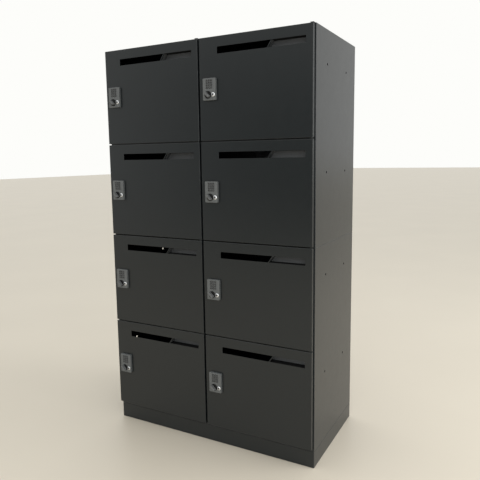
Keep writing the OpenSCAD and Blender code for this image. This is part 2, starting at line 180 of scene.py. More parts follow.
def turnedNickel(name, dark, pale):
    # nickel plate on turned brass: a neutral metal, softly bright, with fine turning marks and
    # the scratches that keys leave
    material, tree, shader, place = startMaterial(name, Metallic=1.0)
    scratch = addNode(tree, "ShaderNodeTexNoise", {"Vector": place, "Scale": 1 / (0.7 * mm), "Detail": 4.0,
                      "Distortion": 2.0})
    cloud = addNode(tree, "ShaderNodeTexNoise", {"Vector": place, "Scale": 1 / (5 * mm), "Detail": 2.0})
    shade = addNode(tree, "ShaderNodeMix", {0: cloud.outputs["Fac"], 6: hexColour(dark),
                    7: hexColour(pale)}, data_type="RGBA")
    gloss = addNode(tree, "ShaderNodeMapRange", {0: scratch.outputs["Fac"], 1: 0.35, 2: 0.7,
                    3: 0.34, 4: 0.52})
    bump = addNode(tree, "ShaderNodeBump", {"Height": scratch.outputs["Fac"], "Strength": 0.25,
                   "Distance": 0.02 * mm})
    tree.links.new(shade.outputs[2], shader.inputs["Base Color"])
    tree.links.new(gloss.outputs[0], shader.inputs["Roughness"])
    tree.links.new(bump.outputs[0], shader.inputs["Normal"])
    return material


def zincPlate(name):
    # bright zinc plating on steel: pale blue-grey metal with a faint crystal pattern
    material, tree, shader, place = startMaterial(name, Metallic=1.0)
    crystal = addNode(tree, "ShaderNodeTexVoronoi", {"Vector": place, "Scale": 1 / (3 * mm)})
    film = addNode(tree, "ShaderNodeTexNoise", {"Vector": place, "Scale": 1 / (9 * mm), "Detail": 3.0})
    spangle = addNode(tree, "ShaderNodeSeparateColor", {0: crystal.outputs["Color"]})
    shade = addNode(tree, "ShaderNodeMix", {0: film.outputs["Fac"], 6: hexColour("#a7abb0"),
                    7: hexColour("#c9c8c0")}, data_type="RGBA")
    gloss = addNode(tree, "ShaderNodeMapRange", {0: spangle.outputs[0], 3: 0.32, 4: 0.5})
    bump = addNode(tree, "ShaderNodeBump", {"Height": spangle.outputs[0], "Strength": 0.2,
                   "Distance": 0.02 * mm})
    tree.links.new(shade.outputs[2], shader.inputs["Base Color"])
    tree.links.new(gloss.outputs[0], shader.inputs["Roughness"])
    tree.links.new(bump.outputs[0], shader.inputs["Normal"])
    return material


doorPaint = finePowderCoat("charcoal_powder_coat_doors", 1.0)
carcassPaint = finePowderCoat("charcoal_powder_coat_carcass", 1.08)
# satin enamel sprayed on a zinc casting: mid grey, with a faint orange peel
caseGrey = evenSkin("grey_satin_enamel_on_zinc", "#5a5d5e", 0.5, 0.9 * mm, 0.05 * mm)
# moulded ABS with a spark-eroded skin: grey, softly bright along its rounded edges
gripGrey = evenSkin("grey_satin_abs", "#5f6162", 0.42, 0.7 * mm, 0.02 * mm)
capGrey = evenSkin("grey_key_abs", "#505253", 0.45, 0.7 * mm, 0.02 * mm)
# the same skin, nearly black and dull: painted shade on the knob's disc, darker than its own grey, so that
# the grip stands out against the shade round it
knobShadeBlack = evenSkin("near_black_painted_shade_abs", "#0c0c0d", 0.65, 0.7 * mm, 0.02 * mm, index=1.38)
# black ABS let into each cap: a dull dark dot
dotBlack = evenSkin("black_inlaid_abs", "#0b0b0c", 0.6, 0.7 * mm, 0.01 * mm, index=1.4)
# painted shade: the pocket's tray is made matt near-black, so that its floor and ceiling read as the shade
# inside the recess
pocketShadeBlack = evenSkin("black_painted_shade_pocket_walls", "#0a0a0b", 0.85, 0.9 * mm, 0.04 * mm, index=1.3)
# painted light: a pale grey board, quite dull, with a paper tooth, set lighter than the door's paint so
# that the pocket's back and left wall look lit
pocketPaintedLightGrey = evenSkin("grey_painted_light_pocket_board", "#4e5051", 0.75, 0.9 * mm, 0.03 * mm)
# moulded silicone: black, with a soft low sheen in the gaps between the caps
matBlack = evenSkin("black_silicone_mat", "#0d0d0e", 0.6, 0.7 * mm, 0.02 * mm)
# moulded rubber: black, dull and slightly rough
bumperRubber = evenSkin("black_moulded_rubber", "#161615", 0.8, 0.8 * mm, 0.08 * mm)
nickel = turnedNickel("nickel_plated_brass", "#e6e9ec", "#f6f8fa")
coreMetal = turnedNickel("satin_nickel_key_core", "#6f7072", "#8b8c8e")
zinc = zincPlate("bright_zinc_plate")
print("materials made")


def onFront(x=0.0, y=0.0, z=0.0, turn=0.0):
    # a drawing plane that faces -Y, turned about its own middle
    upright = Matrix.Rotation(math.pi / 2, 4, "X")
    return Matrix.Translation((x, y, z)) @ Matrix.Rotation(turn, 4, "Y") @ upright


def onTop(x=0.0, y=0.0, z=0.0):
    return Matrix.Translation((x, y, z))


def onSide(x=0.0, y=0.0, z=0.0):
    # a drawing plane that faces +X
    upright = Matrix.Rotation(math.pi / 2, 4, "X")
    return Matrix.Translation((x, y, z)) @ Matrix.Rotation(math.pi / 2, 4, "Z") @ upright


def loopEdges(verts):
    return list({edge for vert in verts for edge in vert.link_edges})


def roundLoop(bm, radius, place, segments=40):
    made = bmesh.ops.create_circle(bm, radius=radius, segments=segments, matrix=place)
    return loopEdges(made["verts"])


def plateLoop(bm, width, height, radius, place, lean=(0, 0), corner=5):
    # a rectangle with round corners; lean pushes its left and right ends over as they rise
    step = math.pi / (2 * corner)
    made = bmesh.ops.create_circle(bm, radius=radius / math.cos(step / 2), segments=4 * corner,
                                   matrix=Matrix.Rotation(step / 2, 4, "Z"))
    for vert in made["verts"]:
        slope = lean[0] if vert.co.x < 0 else lean[1]
        vert.co.y += math.copysign(height / 2 - radius, vert.co.y)
        vert.co.x += math.copysign(width / 2 - radius, vert.co.x) + slope * vert.co.y
    bmesh.ops.transform(bm, matrix=place, verts=made["verts"])
    return loopEdges(made["verts"])


def bridge(bm, loops):
    for near, far in zip(loops, loops[1:]):
        bmesh.ops.bridge_loops(bm, edges=near + far)


def cap(bm, loop):
    bmesh.ops.edgeloop_fill(bm, edges=loop)


def fillAround(bm, loops):
    # a flat face with openings: the first loop is its rim
    bmesh.ops.triangle_fill(bm, use_beauty=True, edges=[edge for loop in loops for edge in loop])


def reopen(bm, face, loops):
    # cuts openings in a flat face
    rim = list(face.edges)
    bmesh.ops.delete(bm, geom=[face], context="FACES_ONLY")
    fillAround(bm, [rim] + loops)


def flatFace(bm, direction):
    # the widest face that looks that way
    found = [face for face in bm.faces if face.normal.dot(Vector(direction)) > 0.99]
    return max(found, key=lambda face: face.calc_area())


def block(bm, low, high):
    size = [b - a for a, b in zip(low, high)]
    middle = [(a + b) / 2 for a, b in zip(low, high)]
    place = Matrix.LocRotScale(Vector(middle), None, Vector(size))
    return bmesh.ops.create_cube(bm, size=1, matrix=place)["verts"]


def foldedBox(low, high, radius):
    # sheet metal folded to a closed box, with its folds marked for the lighter wear and painted highlight
    bm = bmesh.new()
    block(bm, low, high)
    mark = bm.faces.layers.float.new("fold")
    made = bmesh.ops.bevel(bm, geom=bm.edges[:], offset=radius, segments=3, profile=0.5,
                           affect="EDGES", material=-1)
    for face in made["faces"]:
        face[mark] = 1.0
    bm.normal_update()
    return bm


def finishPiece(name, bm, material, body, nodes=(), move=(0, 0, 0), wall=0.0, ease=0.0):
    mesh = bpy.data.meshes.new(name)
    bm.to_mesh(mesh)
    mesh.transform(Matrix.Translation(move))
    mesh.materials.append(material)
    mesh.polygons.foreach_set("use_smooth", [True] * len(mesh.polygons))
    mesh.set_sharp_from_angle(angle=math.radians(38))
    piece = bpy.data.objects.new(name, mesh)
    bpy.context.scene.collection.objects.link(piece)
    if wall:
        piece.modifiers.new("wall", "SOLIDIFY").thickness = wall
    if ease:
        rounding = piece.modifiers.new("eased edges", "BEVEL")
        rounding.width = ease
        rounding.segments = 2
        rounding.limit_method = "ANGLE"
        rounding.angle_limit = math.radians(50)
    weighted = piece.modifiers.new("flat faces stay flat", "WEIGHTED_NORMAL")
    weighted.keep_sharp = True
    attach(piece, body)
    if nodes:
        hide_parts(*nodes)
    return piece


def easedNode(node, material, ease):
    # a CAD node's own shape, with its sharp edges eased
    bm = bmesh.new()
    bm.from_mesh(frame["nodes"][node].data)
    bmesh.ops.remove_doubles(bm, verts=bm.verts[:], dist=0.005 * mm)
    bmesh.ops.dissolve_limit(bm, angle_limit=math.radians(1), verts=bm.verts[:], edges=bm.edges[:])
    body = frame["nodes"][node]["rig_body"]
    return finishPiece(f"{node}_finished", bm, material, body, nodes=[node], ease=ease)


carcass = {
    "sheet": 1.2 * mm,
    "foldRadius": 1.8 * mm,
    "sideFlange": 18 * mm,
    "topFlange": 14 * mm,
    "sill": {"lower": 26.5 * mm, "upper": 14 * mm},
    "backFlange": 12 * mm,
    "rows": {"lower": (3, 4), "upper": (1, 2)},
    "holeRadius": 4.5 * mm,
    "holeSpread": 220 * mm,
    "holeForward": 3 * mm,
    "holeDrop": 117 * mm,    # under each row's top line
    "openingCorner": 0.5 * mm,
    "easedEdge": 0.25 * mm,
    "bracketEdge": 0.15 * mm,
    "boltEdge": 0.4 * mm,
    "bumperEdge": 0.35 * mm,
}
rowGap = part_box("door_left_1")[0].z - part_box("door_left_2")[1].z


def makeShell(unit):
    # the wrap: sides, top and bottom, folded in to flanges at the front and the back
    s = carcass
    low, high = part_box(f"{unit}_shell")
    bm = foldedBox(low, high, s["foldRadius"])
    width = high.x - low.x
    front = (s["sideFlange"], s["sill"][unit], s["topFlange"])
    back = (s["backFlange"],) * 3
    for way, y, (side, bottom, top) in ((-1, low.y, front), (1, high.y, back)):
        rise = high.z - low.z - bottom - top
        opening = plateLoop(bm, width - 2 * side, rise, s["openingCorner"],
                            onFront(0, y, low.z + bottom + rise / 2))
        reopen(bm, flatFace(bm, (0, way, 0)), [opening])
    for x, way in ((low.x, -1), (high.x, 1)):
        holes = []
        for row in s["rows"][unit]:
            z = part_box(f"door_left_{row}")[1].z + rowGap / 2 - s["holeDrop"]
            for half in (-0.5, 0.5):
                place = onSide(x, half * s["holeSpread"] - s["holeForward"], z)
                holes.append(roundLoop(bm, s["holeRadius"], place, segments=32))
        reopen(bm, flatFace(bm, (way, 0, 0)), holes)
    bmesh.ops.recalc_face_normals(bm, faces=bm.faces[:])
    return bm


for unit in units:
    finishPiece(f"{unit}_carcass_wrap", makeShell(unit), carcassPaint, "cabinet",
                nodes=[f"{unit}_shell"], wall=carcass["sheet"], ease=carcass["easedEdge"])
    for part in ("back_panel", "partition", "shelf"):
        easedNode(f"{unit}_{part}", carcassPaint, carcass["easedEdge"])

plinth = {
    "sheet": 1.5 * mm,
    "flange": 24 * mm,
    "foldRadius": 2 * mm,
    "anchorRadius": 4.5 * mm,
    "anchorIn": 14 * mm,
    "openingCorner": 1 * mm,
    "easedEdge": 0.3 * mm,
}


def makePlinth():
    # a frame of channel, open through its middle, with an anchor hole at each corner of its foot
    s = plinth
    low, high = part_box("plinth")
    bm = foldedBox(low, high, s["foldRadius"])
    size = high - low
    middle = (low + high) / 2
    for way, z in ((-1, low.z), (1, high.z)):
        openings = [plateLoop(bm, size.x - 2 * s["flange"], size.y - 2 * s["flange"], s["openingCorner"],
                              onTop(middle.x, middle.y, z))]
        for x in (-1, 1):
            for y in (-1, 1):
                if way < 0:
                    place = onTop(middle.x + x * (size.x / 2 - s["anchorIn"]),
                                  middle.y + y * (size.y / 2 - s["anchorIn"]), z)
                    openings.append(roundLoop(bm, s["anchorRadius"], place, segments=32))
        reopen(bm, flatFace(bm, (0, 0, way)), openings)
    bmesh.ops.recalc_face_normals(bm, faces=bm.faces[:])
    return bm


finishPiece("plinth_frame", makePlinth(), carcassPaint, "cabinet",
            nodes=["plinth"], wall=plinth["sheet"], ease=plinth["easedEdge"])
easedNode("pivot_brackets", carcassPaint, carcass["bracketEdge"])
easedNode("joining_bolts", zinc, carcass["boltEdge"])
easedNode("door_bumpers", bumperRubber, carcass["bumperEdge"])
print("carcass made")


door = {
    "thickness": 16 * mm,
    "sheet": 1 * mm,
    "foldRadius": 1.6 * mm,
    "lip": 14 * mm,
    "slotLength": 340 * mm,
    "slotHeight": 24.5 * mm,
    "slotLeft": 76 * mm,
    "slotDrop": 37 * mm,
    "slotCorner": 1.2 * mm,
    "letterLength": 197 * mm,    # along the slot's bottom edge, up to the divider
    "dividerLean": 17 * mm,
    "dividerWidth": 3.6 * mm,
    "pocketDepth": 31 * mm,
    "pocketCorner": 0.8 * mm,
    "boardGap": 0.3 * mm,        # all round the pale board of painted light
    "channelWidth": 60 * mm,
    "channelDepth": 10 * mm,
    "channelFlange": 13 * mm,
    "channelFold": 2 * mm,
    "blockSize": 12 * mm,
    "blockFold": 0.5 * mm,
    "pinIn": 6 * mm,
    "pinForward": 10 * mm,
    "pinRadius": 2.05 * mm,
    "pinDepth": 8.5 * mm,
    "easedEdge": 0.25 * mm,
}
doorLow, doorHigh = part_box("door_left_1")
doorWidth = doorHigh.x - doorLow.x
doorHeight = doorHigh.z - doorLow.z
slotBase = doorHeight - door["slotDrop"] - door["slotHeight"]
slotMiddle = slotBase + door["slotHeight"] / 2
pinPlace = (doorWidth - door["pinIn"], door["thickness"] - door["pinForward"])


def makeDoorSkin():
    # one folded sheet: face, side returns and back lips, pierced for the slot and the pivot pins
    s = door
    bm = foldedBox((0, 0, 0), (doorWidth, s["thickness"], doorHeight), s["foldRadius"])
    slot = plateLoop(bm, s["slotLength"], s["slotHeight"], s["slotCorner"],
                     onFront(s["slotLeft"] + s["slotLength"] / 2, 0, slotMiddle))
    reopen(bm, flatFace(bm, (0, -1, 0)), [slot])
    inner = plateLoop(bm, doorWidth - 2 * s["lip"], doorHeight - 2 * s["lip"], 1 * mm,
                      onFront(doorWidth / 2, s["thickness"], doorHeight / 2))
    reopen(bm, flatFace(bm, (0, 1, 0)), [inner])
    for way, z in ((-1, 0), (1, doorHeight)):
        pinHole = roundLoop(bm, s["pinRadius"], onTop(*pinPlace, z), segments=24)
        reopen(bm, flatFace(bm, (0, 0, way)), [pinHole])
    bmesh.ops.recalc_face_normals(bm, faces=bm.faces[:])
    return bm


def makeLabelPocket():
    # a closed tray behind the slot's right end
    s = door
    bm = bmesh.new()
    slope = s["dividerLean"] / s["slotHeight"]
    left = s["slotLeft"] + s["letterLength"] + s["dividerLean"] / 2
    right = s["slotLeft"] + s["slotLength"]

    def trayLoop(grow, y):
        return plateLoop(bm, right - left + 2 * grow, s["slotHeight"] + 2 * grow, s["pocketCorner"] + grow,
                         onFront((left + right) / 2, y, slotMiddle), lean=(slope, 0))

    back = trayLoop(s["sheet"], s["pocketDepth"])
    floor = trayLoop(0, s["pocketDepth"] - s["sheet"])
    bridge(bm, [back, trayLoop(s["sheet"], s["sheet"]), trayLoop(0, s["sheet"]), floor])
    cap(bm, back)
    cap(bm, floor)
    bmesh.ops.recalc_face_normals(bm, faces=bm.faces[:])
    return bm


def makeDivider():
    # the leaning bar that parts the letter slot from the pocket
    s = door
    bm = bmesh.new()
    slope = s["dividerLean"] / s["slotHeight"]
    left = s["slotLeft"] + s["letterLength"] + s["dividerLean"] / 2

    def dividerLoop(shrink, y):
        return plateLoop(bm, s["dividerWidth"] - 2 * shrink, s["slotHeight"] + 1 * mm - 2 * shrink,
                         1 * mm - shrink / 2, onFront(left + s["dividerWidth"] / 2, y, slotMiddle),
                         lean=(slope, slope))

    root = dividerLoop(0, 4 * mm)
    face = dividerLoop(0.4 * mm, 0.05 * mm)
    bridge(bm, [root, dividerLoop(0, 0.45 * mm), dividerLoop(0.12 * mm, 0.17 * mm), face])
    cap(bm, root)
    cap(bm, face)
    bmesh.ops.recalc_face_normals(bm, faces=bm.faces[:])
    return bm


def makePaintedLightBoard():
    # the plain backing at the foot of the pocket, turned forward along its left wall; its pale grey is
    # painted light on the pocket's back and left wall
    s = door
    slope = s["dividerLean"] / s["slotHeight"]
    left = s["slotLeft"] + s["letterLength"] + s["dividerLean"] / 2 + 1 * mm
    right = s["slotLeft"] + s["slotLength"] - s["boardGap"]
    tall = s["slotHeight"] - 2 * s["boardGap"]
    bm = bmesh.new()
    loops = [plateLoop(bm, right - left, tall, 0.6 * mm,
                       onFront((left + right) / 2, s["pocketDepth"] - s["sheet"] - depth, slotMiddle),
                       lean=(slope, 0)) for depth in (-0.3 * mm, 0.5 * mm)]
    bridge(bm, loops)
    flap = [plateLoop(bm, 0.8 * mm, tall, 0.2 * mm,
                      onFront(left - s["boardGap"], y, slotMiddle), lean=(slope, slope), corner=3)
            for y in (4.5 * mm, s["pocketDepth"] - 1.5 * s["sheet"])]
    bridge(bm, flap)
    for loop in loops + flap:
        cap(bm, loop)
    bmesh.ops.recalc_face_normals(bm, faces=bm.faces[:])
    return bm


def makeChannel():
    # a hat section welded down the middle of the door's back, below the slot
    s = door
    half = s["channelWidth"] / 2
    bm = bmesh.new()
    outline = [(-half - s["channelFlange"], s["sheet"]), (-half, s["sheet"]), (-half, s["channelDepth"]),
               (half, s["channelDepth"]), (half, s["sheet"]), (half + s["channelFlange"], s["sheet"])]
    verts = [bm.verts.new((doorWidth / 2 + x, y, s["lip"])) for x, y in outline]
    for near, far in zip(verts, verts[1:]):
        bm.edges.new((near, far))
    made = bmesh.ops.extrude_edge_only(bm, edges=bm.edges[:])["geom"]
    top = [item for item in made if isinstance(item, bmesh.types.BMVert)]
    bmesh.ops.translate(bm, verts=top, vec=(0, 0, slotBase - 2 * s["lip"]))
    folds = [edge for edge in bm.edges if len(edge.link_faces) == 2]
    # folds marked for the lighter wear and painted highlight
    mark = bm.faces.layers.float.new("fold")
    made = bmesh.ops.bevel(bm, geom=folds, offset=s["channelFold"], segments=3, profile=0.5,
                           affect="EDGES", material=-1)
    for face in made["faces"]:
        face[mark] = 1.0
    return bm


def makePivotBlocks():
    # the solid corners that take the pivot pins
    s = door
    bm = bmesh.new()
    for end, way in ((0, 1), (doorHeight, -1)):
        near, far = end + way * s["sheet"], end + way * s["blockSize"]
        part = foldedBox((doorWidth - s["blockSize"], s["sheet"], min(near, far)),
                         (doorWidth - s["sheet"], s["thickness"] - s["sheet"], max(near, far)),
                         s["blockFold"])
        mouth = roundLoop(part, s["pinRadius"], onTop(*pinPlace, near), segments=24)
        reopen(part, flatFace(part, (0, 0, -way)), [mouth])
        foot = roundLoop(part, s["pinRadius"], onTop(*pinPlace, end + way * s["pinDepth"]), segments=24)
        bridge(part, [mouth, foot])
        cap(part, foot)
        bmesh.ops.recalc_face_normals(part, faces=part.faces[:])
        spare = bpy.data.meshes.new("block")
        part.to_mesh(spare)
        bm.from_mesh(spare)
        bpy.data.meshes.remove(spare)
    return bm


# name, shape, material, sheet and eased edge
doorParts = (
    ("door_skin", makeDoorSkin(), doorPaint, door["sheet"], door["easedEdge"]),
    # the pocket's tray, in near-black painted shade
    ("label_pocket", makeLabelPocket(), pocketShadeBlack, 0, 0),
    ("slot_divider", makeDivider(), doorPaint, 0, 0),
    # the pale board of painted light in the pocket
    ("painted_light_board", makePaintedLightBoard(), pocketPaintedLightGrey, 0, 0),
    ("door_channel", makeChannel(), doorPaint, door["sheet"], 0),
    ("pivot_blocks", makePivotBlocks(), doorPaint, 0, 0),
)
for locker in lockers:
    node = f"door_{locker}"
    for name, bm, material, wall, ease in doorParts:
        finishPiece(f"{name}_{locker}", bm, material, f"swing_{locker}",
                    nodes=[node] if name == "door_skin" else [], move=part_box(node)[0],
                    wall=wall, ease=ease)
print("doors made")


lock = {
    "width": 54 * mm,
    "height": 79 * mm,
    "depth": 10 * mm,
    "cornerRadius": 4 * mm,
    "edgeRadius": 1.4 * mm,
    "wall": 3 * mm,              # in front of the keypad
    "knobX": -5 * mm,
    "plugX": 17 * mm,
    "dialZ": -19.5 * mm,
    "keypadZ": 18.5 * mm,
    "columns": 3,
    "rows": 4,
    "keyWidth": 7 * mm,
    "keyHeight": 6 * mm,
    "columnPitch": 9.5 * mm,
    "rowPitch": 8.5 * mm,
    "keyProud": 1.6 * mm,
    "dotRadius": 2.1 * mm,
    "keyGap": 0.4 * mm,
    "matBorder": 2.5 * mm,
    "matThickness": 1.6 * mm,
    "knobRadius": 13.2 * mm,
    "knobDepth": 15 * mm,        # grip, out from the case
    "knobRecess": 1.5 * mm,
    "gripLength": 25.4 * mm,
    "gripThickness": 8.5 * mm,
    "gripTurn": math.radians(45),
    "spindleRadius": 5 * mm,
    "spindleFit": 0.05 * mm,
    "spindleBarrel": (9 * mm, 14.5 * mm),    # radius, and how far it reaches behind the door's face
    "plugBarrel": (7.6 * mm, 12 * mm),
    "plugRadius": 6 * mm,
    "plugFace": 7.5 * mm,
    "plugCore": 4.6 * mm,        # inside the bevelled collar
    "keyway": (1.6 * mm, 7 * mm, 5 * mm),
    "squareSide": 6 * mm,
}
matWidth = (lock["columns"] - 1) * lock["columnPitch"] + lock["keyWidth"] + 2 * lock["matBorder"]
matHeight = (lock["rows"] - 1) * lock["rowPitch"] + lock["keyHeight"] + 2 * lock["matBorder"]
keyPlaces = [((column - (lock["columns"] - 1) / 2) * lock["columnPitch"],
              lock["keypadZ"] + (row - (lock["rows"] - 1) / 2) * lock["rowPitch"])
             for column in range(lock["columns"]) for row in range(lock["rows"])]
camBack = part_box("latch_cam_left_1")[0].y - doorLow.y


def makeLockCase():
    # a hollow case: rounded outside, windows for the keys, a dished well for the knob,
    # and two barrels that pass through the door
    s = lock
    bm = bmesh.new()
    front = -s["depth"]
    cavity = front + s["wall"]

    def shellLoop(inset, y):
        return plateLoop(bm, s["width"] - 2 * inset, s["height"] - 2 * inset,
                         s["cornerRadius"] - inset * 0.7, onFront(0, y, 0), corner=7)

    def roundStack(x, stack):
        return [roundLoop(bm, radius, onFront(x, y, s["dialZ"]), segments=48) for radius, y in stack]

    r = s["edgeRadius"]
    outside = [shellLoop(0, 0), shellLoop(0, front + r), shellLoop(r * 0.13, front + r * 0.5),
               shellLoop(r * 0.5, front + r * 0.13), shellLoop(r, front)]
    bridge(bm, outside)
    lip = 0.5 * mm
    bore = s["spindleRadius"] + s["spindleFit"]
    wellRadius = s["knobRadius"] + s["keyGap"]
    barrelRadius, barrelEnd = s["spindleBarrel"]
    well = roundStack(s["knobX"], [(wellRadius + lip, front), (wellRadius, front + lip),
                                   (wellRadius, front + s["knobRecess"]), (bore, front + s["knobRecess"]),
                                   (bore, barrelEnd), (barrelRadius, barrelEnd), (barrelRadius, 0)])
    bridge(bm, well)
    plugBore = s["plugRadius"] + s["spindleFit"]
    sleeveRadius, sleeveEnd = s["plugBarrel"]
    sleeve = roundStack(s["plugX"], [(plugBore + 0.3 * mm, front), (plugBore, front + 0.3 * mm),
                                     (plugBore, sleeveEnd), (sleeveRadius, sleeveEnd), (sleeveRadius, 0)])
    bridge(bm, sleeve)

    def cavityLoop(y):
        return plateLoop(bm, matWidth + 2 * s["keyGap"], matHeight + 2 * s["keyGap"], 1 * mm,
                         onFront(0, y, s["keypadZ"]))

    pocket = [cavityLoop(cavity), cavityLoop(0)]
    bridge(bm, pocket)
    windows = []
    for x, z in keyPlaces:
        window = [plateLoop(bm, s["keyWidth"] + 2 * s["keyGap"] + grow,
                            s["keyHeight"] + 2 * s["keyGap"] + grow,
                            1 * mm + grow / 2, onFront(x, y, z), corner=4)
                  for grow, y in ((0.7 * mm, front), (0, front + 0.35 * mm), (0, cavity))]
        bridge(bm, window)
        windows.append(window)
    fillAround(bm, [outside[-1], well[0], sleeve[0]] + [window[0] for window in windows])
    fillAround(bm, [pocket[0]] + [window[-1] for window in windows])
    fillAround(bm, [outside[0], pocket[-1], well[-1], sleeve[-1]])
    bmesh.ops.recalc_face_normals(bm, faces=bm.faces[:])
    return bm


def makeKeyMat():
    s = lock
    bm = bmesh.new()
    y = s["wall"] - s["depth"] + s["keyGap"]
    loops = [plateLoop(bm, matWidth, matHeight, 1 * mm, onFront(0, y + step, s["keypadZ"]))
             for step in (0, s["matThickness"])]
    bridge(bm, loops)
    cap(bm, loops[0])
    cap(bm, loops[1])
    bmesh.ops.recalc_face_normals(bm, faces=bm.faces[:])
    return bm


def makeKeyCaps():
    # twelve caps with rounded shoulders and a shallow dish for the fingertip
    s = lock
    bm = bmesh.new()
    top = -s["depth"] - s["keyProud"]
    foot = s["wall"] - s["depth"] + s["keyGap"]
    steps = ((0, foot), (0, top + 0.8 * mm), (0.12 * mm, top + 0.35 * mm), (0.4 * mm, top + 0.06 * mm),
             (0.8 * mm, top), (1.5 * mm, top + 0.22 * mm), (2.3 * mm, top + 0.32 * mm))
    for x, z in keyPlaces:
        loops = [plateLoop(bm, s["keyWidth"] - 2 * inset, s["keyHeight"] - 2 * inset,
                           max(1 * mm - inset * 0.4, 0.3 * mm), onFront(x, y, z), corner=4)
                 for inset, y in steps]
        bridge(bm, loops)
        cap(bm, loops[0])
        cap(bm, loops[-1])
    bmesh.ops.recalc_face_normals(bm, faces=bm.faces[:])
    return bm


def makeKeyDots():
    # a dark inlaid dot on each cap, where a digit would be
    s = lock
    bm = bmesh.new()
    top = -s["depth"] - s["keyProud"]
    for x, z in keyPlaces:
        loops = [roundLoop(bm, s["dotRadius"], onFront(x, top + step, z), segments=24)
                 for step in (0.36 * mm, 0.04 * mm)]
        bridge(bm, loops)
        for loop in loops:
            cap(bm, loop)
    bmesh.ops.recalc_face_normals(bm, faces=bm.faces[:])
    return bm


def makeKnobBase():
    # the turning disc with its spindle, and the square end that drives the cam
    s = lock
    bm = bmesh.new()
    back = s["knobRecess"] - s["depth"] - s["keyGap"]
    face = back - 4 * mm
    radius = s["knobRadius"]
    spindleEnd = camBack - 0.2 * mm
    stack = ((s["spindleRadius"], spindleEnd), (s["spindleRadius"], back), (radius, back),
             (radius, face + 0.9 * mm), (radius - 0.25 * mm, face + 0.3 * mm), (radius - 0.9 * mm, face),
             (radius - 1.8 * mm, face), (radius - 2.3 * mm, face + 0.35 * mm))
    loops = [roundLoop(bm, size, onFront(0, y, 0), segments=56) for size, y in stack]
    bridge(bm, loops)
    cap(bm, loops[0])
    cap(bm, loops[-1])
    half = s["squareSide"] / 2
    verts = block(bm, (-half, spindleEnd - 1 * mm, -half), (half, camBack + 4 * mm, half))
    bmesh.ops.bevel(bm, geom=loopEdges(verts), offset=0.3 * mm, segments=2, profile=0.5,
                    affect="EDGES", material=-1)
    bmesh.ops.recalc_face_normals(bm, faces=bm.faces[:])
    return bm


def makeKnobGrip():
    # the bar that the fingers turn, drafted towards its end, with a sighting groove along it
    s = lock
    bm = bmesh.new()
    tip = -s["depth"] - s["knobDepth"]
    root = s["knobRecess"] - s["depth"] - s["keyGap"] - 2 * mm
    endRadius = s["gripThickness"] / 2 - 0.5 * mm
    steps = ((0, root), (0.15 * mm, root - 2.4 * mm), (0.55 * mm, tip + 1.4 * mm),
             (0.75 * mm, tip + 0.6 * mm), (1.2 * mm, tip + 0.15 * mm), (1.8 * mm, tip))
    loops = [plateLoop(bm, s["gripLength"] - 2 * inset, s["gripThickness"] - 2 * inset,
                       endRadius - inset * 0.9, onFront(0, y, 0, s["gripTurn"]), corner=6)
             for inset, y in steps]
    bridge(bm, loops)
    cap(bm, loops[0])
    groove = [plateLoop(bm, width, height, 0.3 * mm, onFront(0, y, 0, s["gripTurn"]), corner=3)
              for width, height, y in ((18 * mm, 1.4 * mm, tip), (17.6 * mm, 1 * mm, tip + 0.5 * mm))]
    bridge(bm, groove)
    cap(bm, groove[1])
    fillAround(bm, [loops[-1], groove[0]])
    bmesh.ops.recalc_face_normals(bm, faces=bm.faces[:])
    return bm


def makeKeyPlug():
    # the plug's body, bored for its core, with a bevelled collar on its face
    s = lock
    bm = bmesh.new()
    back = -s["depth"] - s["keyGap"]
    face = back - 2.2 * mm
    ring = s["plugFace"]
    core = s["plugCore"]
    stack = ((s["plugRadius"], s["plugBarrel"][1]), (s["plugRadius"], back), (ring, back),
             (ring, face + 1.5 * mm), (ring - 0.12 * mm, face + 1.3 * mm),
             (ring - 0.5 * mm, face + 1.0 * mm), (core + 0.5 * mm, face + 0.06 * mm),
             (core + 0.2 * mm, face), (core, face + 0.1 * mm),
             (core, face + 6 * mm))
    loops = [roundLoop(bm, size, onFront(0, y, 0), segments=56) for size, y in stack]
    bridge(bm, loops)
    cap(bm, loops[0])
    cap(bm, loops[-1])
    bmesh.ops.recalc_face_normals(bm, faces=bm.faces[:])
    return bm


def makeKeyCore():
    # the core inside the collar, cut by the keyway
    s = lock
    bm = bmesh.new()
    face = -s["depth"] - s["keyGap"] - 2.2 * mm
    core = s["plugCore"] - 0.15 * mm
    stack = ((core, face + 5.8 * mm), (core, face + 0.4 * mm), (core - 0.25 * mm, face + 0.2 * mm))
    loops = [roundLoop(bm, size, onFront(0, y, 0), segments=56) for size, y in stack]
    bridge(bm, loops)
    cap(bm, loops[0])
    width, height, depth = s["keyway"]
    keyway = [plateLoop(bm, width, height, 0.4 * mm, onFront(0, y, 0), corner=3)
              for y in (face + 0.2 * mm, face + depth)]
    bridge(bm, keyway)
    cap(bm, keyway[1])
    fillAround(bm, [loops[-1], keyway[0]])
    bmesh.ops.recalc_face_normals(bm, faces=bm.faces[:])
    return bm


